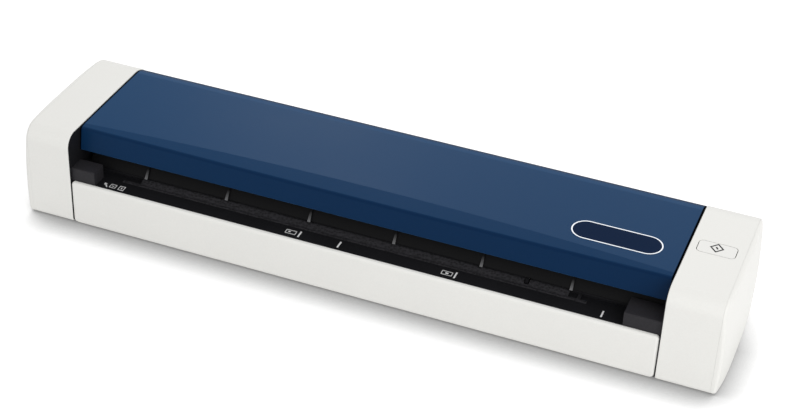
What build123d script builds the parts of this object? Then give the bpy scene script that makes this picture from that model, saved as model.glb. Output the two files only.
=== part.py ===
import os
from math import cos, radians, sin, tan

from build123d import *

# A slim sheet-fed scanner. X runs along its length, Y from the front face to the rear, Z up.
# Depths are measured back from the front face, heights up from the underside of the body.

# Whole body
shell_length = 282.1
body_depth = 68.0
body_height = 40.2
foot_proud = 0.4
wall = 2.0
front_top_radius = 6.0
rear_top_radius = 11.5
bottom_radius = 1.5
least_corner_radius = 0.5
cut_overrun = 1.0

# Fits
slip = 0.1
press_gap = 0.02
running_gap = 0.05
body_gap = 0.3

# End housings, with the bay for the paper between them
left_housing_width = 18.1
right_housing_width = 20.8
housing_edge_fillet = 0.35
cover_rim = 0.6
cover_seat = 2.5
cover_seam = 0.04

# Bulged side covers
bulge = 3.8
cover_falls = (
    (-1.0, 1.8),
    (5.0, 0.8),
    (14.0, 0.15),
    (30.0, 0),
    (50.0, 0.35),
    (60.0, 1.27),
    (69.0, 2.55),
)
cover_crown_height_radius = 200.0
crown_height_place = 12.0
cover_rounding = 1.3

# Paper slot
slot_left_margin = 10.4
slot_right_margin = 14.8
tray_height = 19.1
guide_height = 20.4
path_gap = 1.1
plate = 1.8
tray_depth = 13.4

# Front, rear and bottom panels
panel_height = 19.4
panel_thickness = 1.6
panel_left_gap = 0.4
panel_right_gap = 0.55
panel_fillet = 1.2
panel_upper_corner = 1.4
panel_lower_corner = 1.8
rear_panel_height = 16.9

# Side frames
frame_thickness = 2.0
frame_flange = 0.25
flange_inset = 0.5

# Lid
lid_drop = 0.3
lid_end_gap = 0.6
lid_skirt_height = 30.0
lid_skirt_depth = 8.6
lid_lean = 1.6
lid_front_radius = 1.3
lid_rear_skirt_height = 24.2
lid_corner_radius = 2.0
lid_facet_middle = 8.0
lid_facet_ends = 2.8
lid_facet_tilt = 7.0
lid_end_wall_rear = 57.5

# Hinge of the lid, placed from the rear face
hinge_inset = 5.8
hinge_height = 25.8
hinge_pin_radius = 1.5
hinge_lug_radius = 3.2
hinge_lug_length = 5.0

# Rollers
feed_shaft_depth = 20.5
exit_shaft_inset = 13.0
shaft_radius = 2.5
tyre_radius = 5.0
tyre_width = 14.0
tyre_count = 4
tyre_edge_inset = 28.0
tyre_gap = 0.5
tyre_proud = 0.3
bush_radius = 4.0
window_margin = 1.0
pinch_radius = 3.5
pinch_shaft_radius = 1.5
pinch_overhang = 9.0

# Gear train on the right side frame
roller_gear_teeth = 24
idler_teeth = 36
pinion_teeth = 12
gear_face = 3.0
gear_stand_off = 0.5
pinion_bearing_angle = 44.0
addendum_share = 0.95
dedendum_share = 1.2
tooth_root_share = 0.31
tooth_tip_share = 0.13
idler_axle_radius = 1.2

# Motor
motor_radius = 7.5
motor_length = 10.5
motor_shaft_radius = 1.0
motor_boss_radius = 3.0
motor_boss_length = 0.6
bracket_thickness = 1.0
bracket_post_radius = 2.0
bracket_margin = 1.2
bracket_gap = 1.0

# Scanning heads
head_height = 9.6
head_glass = 1.4
head_overhang = 1.0
head_gap = 0.2
cradle_wall = 1.2
backing_thickness = 1.0

# Scan button
button_length = 14.3
button_width = 7.3
button_corner = 1.6
button_depth = 33.3
button_from_bay = 10.2
button_travel = 0.6
button_lip = 1.0
button_plate = 2.0
button_gap = 0.3

# Screws and feet
screw_radius = 1.0
screw_head_radius = 1.9
screw_head_height = 1.2
boss_radius = 2.8
foot_radius = 4.0
foot_seat = 0.6
foot_inset = 9.5

# Places worked out from the sizes above
left_end = -shell_length / 2
right_end = shell_length / 2
bay_left = left_end + left_housing_width
bay_right = right_end - right_housing_width
inner_left = bay_left + frame_flange
inner_right = bay_right - frame_flange
paper_left = bay_left + slot_left_margin
paper_right = bay_right - slot_right_margin
slot_width = paper_right - paper_left
paper_centre = (paper_left + paper_right) / 2
lid_left = bay_left + lid_end_gap
lid_right = bay_right - lid_end_gap
lid_height = body_height - lid_drop
lid_under = lid_height - wall
roof_height = guide_height + path_gap
rear_inner = body_depth - panel_thickness
hinge_place = (body_depth - hinge_inset, hinge_height)
exit_shaft_depth = body_depth - exit_shaft_inset
shaft_height = guide_height + tyre_proud - tyre_radius
feed_place = (feed_shaft_depth, shaft_height)
exit_place = (exit_shaft_depth, shaft_height)
pinch_height = guide_height + tyre_proud + body_gap + pinch_radius
tyre_pitch = (slot_width - 2 * tyre_edge_inset) / (tyre_count - 1)
tyre_places = [paper_left + tyre_edge_inset + n * tyre_pitch for n in range(tyre_count)]
frame_left_outer = bay_left - frame_thickness
frame_right_outer = bay_right + frame_thickness
gear_left = frame_right_outer + gear_stand_off
gear_right = gear_left + gear_face
bracket_left = gear_right + bracket_gap
bracket_right = bracket_left + bracket_thickness
gear_module = (exit_shaft_depth - feed_shaft_depth) / (roller_gear_teeth + idler_teeth)
idler_radius = gear_module * idler_teeth / 2
pinion_radius = gear_module * pinion_teeth / 2
idler_place = (feed_shaft_depth + gear_module * (roller_gear_teeth + idler_teeth) / 2, shaft_height)
motor_reach = idler_radius + pinion_radius
motor_place = (
    idler_place[0] + motor_reach * cos(radians(pinion_bearing_angle)),
    idler_place[1] + motor_reach * sin(radians(pinion_bearing_angle)),
)
lower_head_front = feed_shaft_depth + tyre_radius + tyre_gap + cradle_wall + head_gap
upper_head_rear = exit_shaft_depth - tyre_radius - cradle_wall
head_spacing = cradle_wall + head_gap
head_depth = (upper_head_rear - lower_head_front - head_spacing) / 2
lower_head_span = (lower_head_front, lower_head_front + head_depth)
upper_head_span = (upper_head_rear - head_depth, upper_head_rear)
lower_head_middle = sum(lower_head_span) / 2
upper_head_middle = sum(upper_head_span) / 2
head_x = (paper_left - head_overhang, paper_right + head_overhang)


def y_at(depth):
    return depth - body_depth / 2


def z_at(height):
    return height + foot_proud


def block(x_span, depth_span, height_span, mode=Mode.ADD):
    # A box between two places along the length, two depths and two heights.
    middle = (sum(x_span) / 2, y_at(sum(depth_span) / 2), z_at(sum(height_span) / 2))
    with Locations(middle):
        Box(
            x_span[1] - x_span[0],
            depth_span[1] - depth_span[0],
            height_span[1] - height_span[0],
            mode=mode,
        )


def rod(x_span, place, radius, mode=Mode.ADD):
    # A round bar along the length, about a place given as depth and height.
    middle = (sum(x_span) / 2, y_at(place[0]), z_at(place[1]))
    with Locations(Location(middle, (0, 90, 0))):
        Cylinder(radius, x_span[1] - x_span[0], mode=mode)


def post(x, depth, height_span, radius, mode=Mode.ADD):
    # An upright round bar.
    with Locations((x, y_at(depth), z_at(sum(height_span) / 2))):
        Cylinder(radius, height_span[1] - height_span[0], mode=mode)


def widened(span, amount):
    return (span[0] - amount, span[1] + amount)


def section(x_span, points, radii=None, mode=Mode.ADD):
    # A run of one cross-section along the length, its corners given as depth and height.
    with BuildSketch(Plane.YZ.offset(x_span[0])) as cross:
        with BuildLine():
            corners = [(y_at(depth), z_at(height)) for depth, height in points]
            FilletPolyline(*corners, radius=radii or [0] * len(corners), close=True)
        make_face()
    extrude(cross.sketch, amount=x_span[1] - x_span[0], mode=mode)


def body_section(x_span, inset, mode=Mode.ADD):
    # The rounded end view of the body, drawn in by an inset.
    far_depth = body_depth - inset
    far_height = body_height - inset
    corners = [(inset, inset), (far_depth, inset), (far_depth, far_height), (inset, far_height)]
    outer = [bottom_radius, bottom_radius, rear_top_radius, front_top_radius]
    section(x_span, corners, [max(radius - inset, least_corner_radius) for radius in outer], mode)


def upright(x_span, depth_span, base, corner, amount, mode=Mode.ADD):
    # A rounded rectangle on the plan, raised from a base height.
    middle = (sum(x_span) / 2, y_at(sum(depth_span) / 2))
    with BuildSketch(Plane.XY.offset(z_at(base))) as plan:
        with Locations(middle):
            RectangleRounded(x_span[1] - x_span[0], depth_span[1] - depth_span[0], corner)
    extrude(plan.sketch, amount=amount, mode=mode)


def save(piece, name):
    piece.part.label = name
    export_step(piece.part, "parts/" + name + ".step")


os.makedirs("parts", exist_ok=True)

# Screw ears tie each end housing to its side frame.
ear_size = 7.0
ear_thickness = 2.5
ear_spans = (
    ((wall, wall + ear_size), (body_height - wall - ear_size, body_height - wall)),
    ((body_depth - wall - ear_size, body_depth - wall), (wall, wall + ear_size)),
)
ear_places = [(sum(depths) / 2, sum(heights) / 2) for depths, heights in ear_spans]
foot_places = [
    (x, depth)
    for x in (left_end + left_housing_width / 2, right_end - right_housing_width / 2)
    for depth in (foot_inset, body_depth - foot_inset)
]


def end_housing(x_span, ear_x_span, bay_face):
    # A white loop round one end, with a rim for the side cover, two screw ears and foot seats.
    body_section(x_span, 0)
    bay_rim = faces().filter_by(Axis.X).sort_by(Axis.X)[bay_face].edges()
    fillet(bay_rim, housing_edge_fillet)
    body_section((x_span[0] - cut_overrun, x_span[1] + cut_overrun), wall, Mode.SUBTRACT)
    for depths, heights in ear_spans:
        block(ear_x_span, depths, heights)
    for place in ear_places:
        rod(ear_x_span, place, screw_radius + running_gap, Mode.SUBTRACT)
    for x, depth in foot_places:
        post(x, depth, (-cut_overrun, foot_seat), foot_radius + slip, Mode.SUBTRACT)


# Main board and its USB socket, standing in the left housing.
board_thickness = 1.2
board_stand_off = 8.0
board_right = frame_left_outer - board_stand_off
board_left = board_right - board_thickness
board_depths = (12.0, body_depth - wall - ear_size / 2)
board_heights = (6.0, 27.0)
board_hole_inset = 3.2
board_post_radius = 2.2
usb_height = 16.0
usb_width = 7.8
usb_thickness = 4.0
usb_length = 9.3
usb_set_back = 0.3
usb_cut_gap = 0.25
usb_wall = 0.5
usb_depths = (body_depth - usb_set_back - usb_length, body_depth - usb_set_back)
usb_heights = (usb_height - usb_width / 2, usb_height + usb_width / 2)
usb_x = (board_right, board_right + usb_thickness)

with BuildPart() as left_end_housing:
    end_housing((left_end, bay_left), (frame_left_outer - ear_thickness, frame_left_outer), -1)
    body_section((left_end - cut_overrun, left_end + cover_seat), cover_rim, Mode.SUBTRACT)
    block(
        (usb_x[0] - usb_cut_gap, usb_x[1] + usb_cut_gap),
        (rear_inner - wall, body_depth + cut_overrun),
        (usb_heights[0] - usb_cut_gap, usb_heights[1] + usb_cut_gap),
        Mode.SUBTRACT,
    )
save(left_end_housing, "left_end_housing")

# Scan button in the top of the right housing.
button_x = bay_right + button_from_bay
button_length_span = (button_x - button_length / 2, button_x + button_length / 2)
button_width_span = (button_depth - button_width / 2, button_depth + button_width / 2)
button_lip_top = body_height - wall - button_gap
button_bottom = button_lip_top - button_lip
switch_top = button_bottom - button_travel - running_gap
switch_height = 0.7
switch_plunger = 0.4
switch_size = 5.0
button_board_top = switch_top - switch_height - switch_plunger
button_board_thickness = 1.0
button_post_radius = 1.2
button_post_reach = button_width / 2 + button_lip + button_gap + button_post_radius
button_board_x = widened(button_length_span, -button_corner)
button_board_depths = (
    button_depth - button_post_reach - button_post_radius,
    button_depth + button_post_reach + button_post_radius,
)

with BuildPart() as right_end_housing:
    end_housing((bay_right, right_end), (frame_right_outer, frame_right_outer + ear_thickness), 0)
    body_section((right_end - cover_seat, right_end + cut_overrun), cover_rim, Mode.SUBTRACT)
    upright(
        widened(button_length_span, button_gap),
        widened(button_width_span, button_gap),
        body_height - wall - cut_overrun,
        button_corner + button_gap,
        wall + 2 * cut_overrun,
        Mode.SUBTRACT,
    )
    for depth in (button_depth - button_post_reach, button_depth + button_post_reach):
        post(button_x, depth, (button_board_top, body_height - wall / 2), button_post_radius)
save(right_end_housing, "right_end_housing")


def crowned_block(inset, base_x, apex_x):
    # The body's end view raised from a base plane up to a softly pillowed outer face.
    spindle_x = apex_x - cover_crown_height_radius
    far_x = spindle_x - cover_crown_height_radius
    edge = [(far_x + fall, y_at(depth)) for depth, fall in cover_falls]
    with BuildSketch(Plane.XY.offset(z_at(crown_height_place))) as barrel:
        with BuildLine():
            Spline(*edge)
            Polyline(edge[-1], (spindle_x, edge[-1][1]), (spindle_x, edge[0][1]), edge[0])
        make_face()
    with BuildPart() as dome:
        body_section((base_x, apex_x + cut_overrun), inset)
        spindle = Axis((spindle_x, 0, z_at(crown_height_place)), (0, 1, 0))
        revolve(barrel.sketch, axis=spindle, mode=Mode.INTERSECT)
    return dome.part


cover_skin = crowned_block(0, right_end - cover_seat, right_end + bulge)
cover_hollow = crowned_block(
    cover_rim + slip + wall, right_end - cover_seat - cut_overrun, right_end + bulge - wall
)
with BuildPart() as cover_rebate:
    block(
        (right_end - cover_seat - cut_overrun, right_end + cover_seam),
        widened((0, body_depth), cut_overrun),
        widened((0, body_height), cut_overrun),
    )
    body_section(
        (right_end - cover_seat, right_end + cut_overrun), cover_rim + slip, Mode.SUBTRACT
    )
with BuildPart() as right_side_cover:
    add(cover_skin)
    fillet(faces().sort_by(Axis.X)[-1].edges(), cover_rounding)
    add(cover_rebate.part, mode=Mode.SUBTRACT)
    add(cover_hollow, mode=Mode.SUBTRACT)
save(right_side_cover, "right_side_cover")

with BuildPart() as left_side_cover:
    mirror(right_side_cover.part, about=Plane.YZ)
save(left_side_cover, "left_side_cover")

with BuildPart() as rubber_feet:
    for x, depth in foot_places:
        post(x, depth, (-foot_proud, foot_seat), foot_radius)
save(rubber_feet, "rubber_feet")

# Case screws come up through the floor into legs under the tray and the lower frame.
case_screw_x = [paper_centre + share * slot_width for share in (-0.45, -0.15, 0.15, 0.45)]
tray_screw_depth = 6.2
case_screw_places = [
    (x, depth) for depth in (tray_screw_depth, upper_head_middle) for x in case_screw_x
]
boss_height = 4.0
screw_seat = 0.2
case_screw_length = 9.0
leg_foot = wall + boss_height

# Paper sensor: a lever that the sheet pushes back, and the board that reads it.
sensor_inset = 40.0
sensor_x = paper_right - sensor_inset
lever_thickness = 1.2
lever_gap = 0.4
lever_pivot = (12.2, 13.8)
lever_hub_radius = 1.7
lever_tip_height = 21.3
lever_arm_width = 1.3
lever_tail = 3.8
lever_swing = 3.9
sensor_axle_radius = 0.8
sensor_lug_width = 2.0
sensor_fork_gap = 0.5
sensor_fork_wall = 1.0
sensor_fork_height = 3.2
sensor_board_height = 7.4
sensor_board_thickness = 1.0
sensor_board_length = 12.0
sensor_board_depths = (8.0, 13.0)
sensor_pillar_radius = 2.0
sensor_slot = widened((sensor_x, sensor_x), lever_thickness / 2 + lever_gap)
sensor_slot_depths = (lever_pivot[0] - lever_hub_radius, tray_depth + lever_swing)

with BuildPart() as bottom_cover:
    block((inner_left, inner_right), (panel_thickness, rear_inner), (0, wall))
    for x, depth in case_screw_places:
        post(x, depth, (wall, leg_foot), boss_radius)
    for x, depth in case_screw_places:
        post(x, depth, (-cut_overrun, leg_foot + cut_overrun), screw_radius + slip, Mode.SUBTRACT)
        post(
            x,
            depth,
            (-cut_overrun, screw_seat + screw_head_height),
            screw_head_radius + slip,
            Mode.SUBTRACT,
        )
    post(sensor_x, sum(sensor_board_depths) / 2, (wall, sensor_board_height), sensor_pillar_radius)
save(bottom_cover, "bottom_cover")

# Front panel: a plain white plank with a shelf that the tray rests on.
panel_x = (bay_left + panel_left_gap, bay_right - panel_right_gap)
shelf_depth = 3.0
shelf_thickness = 1.2
tray_under = tray_height - plate

with BuildPart() as front_panel:
    block(panel_x, (0, panel_thickness), (0, panel_height))
    fillet(edges().filter_by(Axis.Y).group_by(Axis.Z)[-1], panel_upper_corner)
    fillet(edges().filter_by(Axis.Y).group_by(Axis.Z)[0], panel_lower_corner)
    fillet(faces().sort_by(Axis.Y)[0].edges(), panel_fillet)
    block(
        widened(panel_x, -panel_right_gap),
        (panel_thickness, panel_thickness + shelf_depth),
        (tray_under - shelf_thickness, tray_under),
    )
    for x in case_screw_x:
        post(x, tray_screw_depth, (0, body_height), boss_radius + slip, Mode.SUBTRACT)
save(front_panel, "front_panel")

with BuildPart() as rear_cover:
    block(panel_x, (rear_inner, body_depth), (0, rear_panel_height))
    fillet(faces().sort_by(Axis.Y)[-1].edges(), panel_fillet)
save(rear_cover, "rear_cover")

# Feed tray with legs for its screws and lugs for the sensor lever.
with BuildPart() as feed_tray:
    block((inner_left, inner_right), (panel_thickness, tray_depth), (tray_under, tray_height))
    for x in case_screw_x:
        post(x, tray_screw_depth, (leg_foot, tray_under), boss_radius)
        post(
            x,
            tray_screw_depth,
            (leg_foot - cut_overrun, tray_under),
            screw_radius + press_gap,
            Mode.SUBTRACT,
        )
    block(
        sensor_slot,
        sensor_slot_depths,
        (tray_under - cut_overrun, tray_height + cut_overrun),
        Mode.SUBTRACT,
    )
    for side in (-1, 1):
        near = sensor_x + side * (lever_thickness / 2 + lever_gap)
        far = near + side * sensor_lug_width
        block(
            (min(near, far), max(near, far)),
            (lever_pivot[0] - lever_hub_radius, tray_depth - slip),
            (lever_pivot[1] - lever_hub_radius, tray_under),
        )
    lug_reach = lever_thickness / 2 + lever_gap + sensor_lug_width
    rod(
        widened((sensor_x, sensor_x), lug_reach + cut_overrun),
        lever_pivot,
        sensor_axle_radius + press_gap,
        Mode.SUBTRACT,
    )
save(feed_tray, "feed_tray")

with BuildPart() as sensor_axle:
    rod(widened((sensor_x, sensor_x), lug_reach), lever_pivot, sensor_axle_radius)
save(sensor_axle, "sensor_axle")

with BuildPart() as sensor_lever:
    lever_x = widened((sensor_x, sensor_x), lever_thickness / 2)
    arm_depths = widened((lever_pivot[0], lever_pivot[0]), lever_arm_width / 2)
    block(lever_x, arm_depths, (lever_pivot[1] - lever_tail, lever_tip_height))
    rod(lever_x, lever_pivot, lever_hub_radius)
    rod(widened(lever_x, cut_overrun), lever_pivot, sensor_axle_radius + running_gap, Mode.SUBTRACT)
save(sensor_lever, "sensor_lever")

with BuildPart() as sensor_board:
    board_top = sensor_board_height + sensor_board_thickness
    block(
        widened((sensor_x, sensor_x), sensor_board_length / 2),
        sensor_board_depths,
        (sensor_board_height, board_top),
    )
    for side in (-1, 1):
        near = sensor_x + side * (lever_thickness / 2 + sensor_fork_gap)
        far = near + side * sensor_fork_wall
        block(
            (min(near, far), max(near, far)),
            widened((lever_pivot[0], lever_pivot[0]), lever_arm_width / 2),
            (board_top, board_top + sensor_fork_height),
        )
save(sensor_board, "sensor_board")

# Edge guides: a block at each end of the tray keeps the sheet straight.
edge_guide_height = 25.2
edge_guide_front = panel_thickness + slip
left_guide_rear = 8.8
right_guide_rear = 12.0
edge_guide_fillet = 0.5
for guide_name, guide_x, guide_rear in (
    ("left_edge_guide", (inner_left, paper_left), left_guide_rear),
    ("right_edge_guide", (paper_right, inner_right), right_guide_rear),
):
    with BuildPart() as edge_guide:
        block(guide_x, (edge_guide_front, guide_rear), (tray_height, edge_guide_height))
        fillet(edges().filter_by(Axis.X).group_by(Axis.Z)[-1].sort_by(Axis.Y)[0], edge_guide_fillet)
    save(edge_guide, guide_name)

# Feed ramp: the low textured strip that lifts the sheet up to the guides.
ramp_left_inset = 16.0
ramp_right_inset = 23.5
ramp_x = (paper_left + ramp_left_inset, paper_right - ramp_right_inset)
ramp_toe = 8.9
ramp_crest = (12.5, 13.0)
ramp_heel = 13.2
ramp_ledge_left_inset = 14.6
ramp_ledge_right_inset = 16.0
ramp_ledge_x = (paper_left + ramp_ledge_left_inset, paper_right - ramp_ledge_right_inset)
ramp_ledge_depth = 1.2
ramp_ledge_height = 0.45
ramp_tab_width = 1.2
ramp_tab_gap = 3.5
ramp_tab_x = (ramp_x[1] + ramp_tab_gap, ramp_x[1] + ramp_tab_gap + ramp_tab_width)
ramp_left_tab_inset = 8.6
with BuildPart() as feed_ramp:
    section(
        ramp_x,
        [
            (ramp_toe, tray_height),
            (ramp_crest[0], guide_height),
            (ramp_crest[1], guide_height),
            (ramp_heel, tray_height),
        ],
    )
    block(
        ramp_ledge_x,
        (ramp_toe, ramp_toe + ramp_ledge_depth),
        (tray_height, tray_height + ramp_ledge_height),
    )
    block(ramp_tab_x, (ramp_toe, ramp_heel), (tray_height, tray_height + ramp_ledge_height))
    block(
        (paper_left + ramp_left_tab_inset, ramp_x[0]),
        (ramp_toe, ramp_toe + ramp_ledge_depth),
        (tray_height, tray_height + ramp_ledge_height),
    )
    block(
        sensor_slot,
        (lever_pivot[0] - lever_hub_radius, ramp_heel + cut_overrun),
        (tray_height - cut_overrun, guide_height + cut_overrun),
        Mode.SUBTRACT,
    )
save(feed_ramp, "feed_ramp")

# Lower frame: the lower half of the paper path, the lower head's cradle and the exit lip.
guide_under = guide_height - plate
lead_in = 0.4
slope_start_inset = 7.2
slope_end_inset = 4.8
slope_start = body_depth - slope_start_inset
slope_end = body_depth - slope_end_inset
slope_shift = 1.0
window_draw_in = 0.2
window_half = tyre_radius - window_draw_in
lower_head_bottom = guide_height - head_glass - head_height
cradle_front = lower_head_span[0] - head_gap
cradle_rear = lower_head_span[1] + head_gap
head_seat_width = 6.0
head_seat_height = 2.0
frame_x = (inner_left, inner_right)

with BuildPart() as lower_frame:
    section(
        frame_x,
        [
            (tray_depth, guide_under),
            (tray_depth, guide_height - lead_in),
            (tray_depth + lead_in, guide_height),
            (slope_start, guide_height),
            (slope_end, rear_panel_height),
            (rear_inner, rear_panel_height),
            (rear_inner, rear_panel_height - plate),
            (slope_end - slope_shift, rear_panel_height - plate),
            (slope_start - slope_shift, guide_under),
        ],
    )
    block(frame_x, (tray_depth, tray_depth + cradle_wall), (wall, guide_under))
    for depths in (
        (cradle_front - cradle_wall, cradle_front),
        (cradle_rear, cradle_rear + cradle_wall),
    ):
        block(frame_x, depths, (wall, guide_under))
    for x in tyre_places:
        block(
            widened((x, x), head_seat_width / 2),
            (cradle_front, cradle_rear),
            (lower_head_bottom - head_seat_height, lower_head_bottom),
        )
    for x in case_screw_x:
        post(x, upper_head_middle, (leg_foot, guide_under), boss_radius)
        post(
            x,
            upper_head_middle,
            (leg_foot - cut_overrun, guide_under),
            screw_radius + press_gap,
            Mode.SUBTRACT,
        )
    block(
        widened(head_x, head_gap),
        (cradle_front, cradle_rear),
        (guide_under - cut_overrun, guide_height + cut_overrun),
        Mode.SUBTRACT,
    )
    block(
        widened((paper_left, paper_right), slip),
        widened(upper_head_span, slip),
        (guide_height - backing_thickness, guide_height + cut_overrun),
        Mode.SUBTRACT,
    )
    for x in tyre_places:
        for depth in (feed_shaft_depth, exit_shaft_depth):
            block(
                widened((x, x), tyre_width / 2 + window_margin),
                widened((depth, depth), window_half),
                (guide_under - cut_overrun, guide_height + cut_overrun),
                Mode.SUBTRACT,
            )
    block(
        sensor_slot,
        (tray_depth - cut_overrun, sensor_slot_depths[1]),
        (wall, guide_height + cut_overrun),
        Mode.SUBTRACT,
    )
save(lower_frame, "lower_frame")

with BuildPart() as lower_scan_head:
    block(head_x, lower_head_span, (lower_head_bottom, guide_height - head_glass))
save(lower_scan_head, "lower_scan_head")

with BuildPart() as lower_scan_glass:
    block(head_x, lower_head_span, (guide_height - head_glass, guide_height))
save(lower_scan_glass, "lower_scan_glass")

with BuildPart() as lower_backing:
    block(
        (paper_left, paper_right),
        upper_head_span,
        (guide_height - backing_thickness, guide_height),
    )
save(lower_backing, "lower_backing")

# Side frames: the black walls at both ends of the bay.
cable_width_share = 0.6
cable_depths = widened((lower_head_middle, lower_head_middle), head_depth * cable_width_share / 2)
cable_height = 12.0
cable_thickness = 0.3
cable_slot_gap = 0.4
tab_reach = 6.0
tab_thickness = 1.6
tab_inset = 0.8
tab_depths = widened(lower_head_span, -tab_inset)
board_hole_places = [
    (depth, height)
    for depth in (board_depths[0] + board_hole_inset, usb_depths[0] - board_hole_inset)
    for height in (board_heights[0] + board_hole_inset, board_heights[1] - board_hole_inset)
]
board_screw_grip = 4.0


def side_frame(plate_span, flange_span, tab_span):
    body_section(plate_span, wall + slip)
    for place in ear_places:
        rod(widened(plate_span, cut_overrun), place, screw_radius + press_gap, Mode.SUBTRACT)
    body_section(flange_span, flange_inset)
    block(tab_span, tab_depths, (wall, wall + tab_thickness))
    through = widened(
        (min(plate_span[0], flange_span[0]), max(plate_span[1], flange_span[1])),
        cut_overrun,
    )
    for place in (feed_place, exit_place):
        rod(through, place, bush_radius + press_gap, Mode.SUBTRACT)
    rod(through, hinge_place, hinge_pin_radius + press_gap, Mode.SUBTRACT)


with BuildPart() as left_side_frame:
    side_frame(
        (frame_left_outer, bay_left),
        (bay_left, inner_left),
        (inner_left, inner_left + tab_reach),
    )
    for place in board_hole_places:
        rod((board_right, frame_left_outer), place, board_post_radius)
        rod(
            (board_right - cut_overrun, board_right + board_screw_grip),
            place,
            screw_radius + press_gap,
            Mode.SUBTRACT,
        )
    block(
        (frame_left_outer - cut_overrun, inner_left + cut_overrun),
        widened(cable_depths, cable_slot_gap),
        widened((cable_height, cable_height + cable_thickness), cable_slot_gap),
        Mode.SUBTRACT,
    )
save(left_side_frame, "left_side_frame")

bracket_post_reach = idler_radius + gear_module + bracket_post_radius + body_gap
bracket_post_angles = (-38.0, 135.0)
bracket_places = [
    (
        idler_place[0] + bracket_post_reach * cos(radians(angle)),
        idler_place[1] + bracket_post_reach * sin(radians(angle)),
    )
    for angle in bracket_post_angles
]

with BuildPart() as right_side_frame:
    side_frame(
        (bay_right, frame_right_outer),
        (inner_right, bay_right),
        (inner_right - tab_reach, inner_right),
    )
    rod(
        (inner_right - cut_overrun, frame_right_outer + cut_overrun),
        idler_place,
        idler_axle_radius + press_gap,
        Mode.SUBTRACT,
    )
    for place in bracket_places:
        rod(
            (bay_right, frame_right_outer + cut_overrun),
            place,
            screw_radius + press_gap,
            Mode.SUBTRACT,
        )
save(right_side_frame, "right_side_frame")

hinge_pin_spans = (
    (frame_left_outer, lid_left + hinge_lug_length),
    (lid_right - hinge_lug_length, frame_right_outer),
)
with BuildPart() as hinge_pins:
    for pin_span in hinge_pin_spans:
        rod(pin_span, hinge_place, hinge_pin_radius)
save(hinge_pins, "hinge_pins")

# Drive shafts, tyres and bushes
bush_proud = 0.4
shaft_overhang = 1.0
shaft_tip = 0.5
shaft_x = (frame_left_outer - shaft_overhang, gear_right + shaft_tip)
bush_spans = (
    (frame_left_outer - bush_proud, inner_left),
    (inner_right, frame_right_outer + bush_proud),
)

for roller_name, place in (("feed", feed_place), ("exit", exit_place)):
    with BuildPart() as shaft:
        rod(shaft_x, place, shaft_radius)
    save(shaft, roller_name + "_roller_shaft")
    with BuildPart() as tyres:
        for x in tyre_places:
            rod(widened((x, x), tyre_width / 2), place, tyre_radius)
        rod(shaft_x, place, shaft_radius + press_gap, Mode.SUBTRACT)
    save(tyres, roller_name + "_roller_tyres")

with BuildPart() as shaft_bushes:
    for bush_span in bush_spans:
        for place in (feed_place, exit_place):
            rod(bush_span, place, bush_radius)
            rod(widened(bush_span, cut_overrun), place, shaft_radius + running_gap, Mode.SUBTRACT)
save(shaft_bushes, "shaft_bushes")


# Gears have straight-flanked teeth, thinner than their gaps so that they run free.
def gear(place, teeth, phase_steps, bore_radius):
    step = 360 / teeth
    pitch_radius = gear_module * teeth / 2
    corners = []
    for tooth in range(teeth):
        for radial_share, side_share in (
            (-dedendum_share, -tooth_root_share),
            (addendum_share, -tooth_tip_share),
            (addendum_share, tooth_tip_share),
            (-dedendum_share, tooth_root_share),
        ):
            angle = radians((tooth + phase_steps + side_share) * step)
            radius = pitch_radius + radial_share * gear_module
            corners.append(
                (y_at(place[0]) + radius * cos(angle), z_at(place[1]) + radius * sin(angle)),
            )
    with BuildSketch(Plane.YZ.offset(gear_left)) as blank:
        with BuildLine():
            Polyline(*corners, close=True)
        make_face()
    extrude(blank.sketch, amount=gear_face)
    rod((gear_left - cut_overrun, gear_right + cut_overrun), place, bore_radius, Mode.SUBTRACT)


# Each gear is turned so that a gap faces the tooth of the idler that it meets.
half_step = 0.5
half_turn = 180.0
pinion_turn = (1 + idler_teeth / pinion_teeth) * pinion_bearing_angle + half_turn
pinion_steps = pinion_turn * pinion_teeth / (2 * half_turn) + half_step
with BuildPart() as feed_roller_gear:
    gear(feed_place, roller_gear_teeth, half_step, shaft_radius + press_gap)
save(feed_roller_gear, "feed_roller_gear")

with BuildPart() as exit_roller_gear:
    gear(exit_place, roller_gear_teeth, half_step, shaft_radius + press_gap)
save(exit_roller_gear, "exit_roller_gear")

with BuildPart() as idler_gear:
    gear(idler_place, idler_teeth, 0, idler_axle_radius + running_gap)
save(idler_gear, "idler_gear")

with BuildPart() as motor_pinion:
    gear(motor_place, pinion_teeth, pinion_steps, motor_shaft_radius + press_gap)
save(motor_pinion, "motor_pinion")

with BuildPart() as idler_axle:
    rod((inner_right, bracket_right), idler_place, idler_axle_radius)
save(idler_axle, "idler_axle")

motor_rear = bracket_right + motor_length
motor_shaft_rear = motor_rear - wall
with BuildPart() as motor_bracket:
    with BuildSketch(Plane.YZ.offset(bracket_left)) as bracket_face:
        for place in bracket_places:
            with Locations((y_at(place[0]), z_at(place[1]))):
                Circle(bracket_post_radius + bracket_margin)
        with Locations((y_at(motor_place[0]), z_at(motor_place[1]))):
            Circle(motor_radius)
        make_hull()
        with Locations((y_at(motor_place[0]), z_at(motor_place[1]))):
            Circle(motor_boss_radius + slip, mode=Mode.SUBTRACT)
    extrude(amount=bracket_thickness)
    for place in bracket_places:
        rod((frame_right_outer, bracket_left), place, bracket_post_radius)
        rod(
            (frame_right_outer - cut_overrun, bracket_right + cut_overrun),
            place,
            screw_radius + running_gap,
            Mode.SUBTRACT,
        )
    rod(
        (bracket_left - cut_overrun, bracket_right + cut_overrun),
        idler_place,
        idler_axle_radius + press_gap,
        Mode.SUBTRACT,
    )
save(motor_bracket, "motor_bracket")

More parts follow.
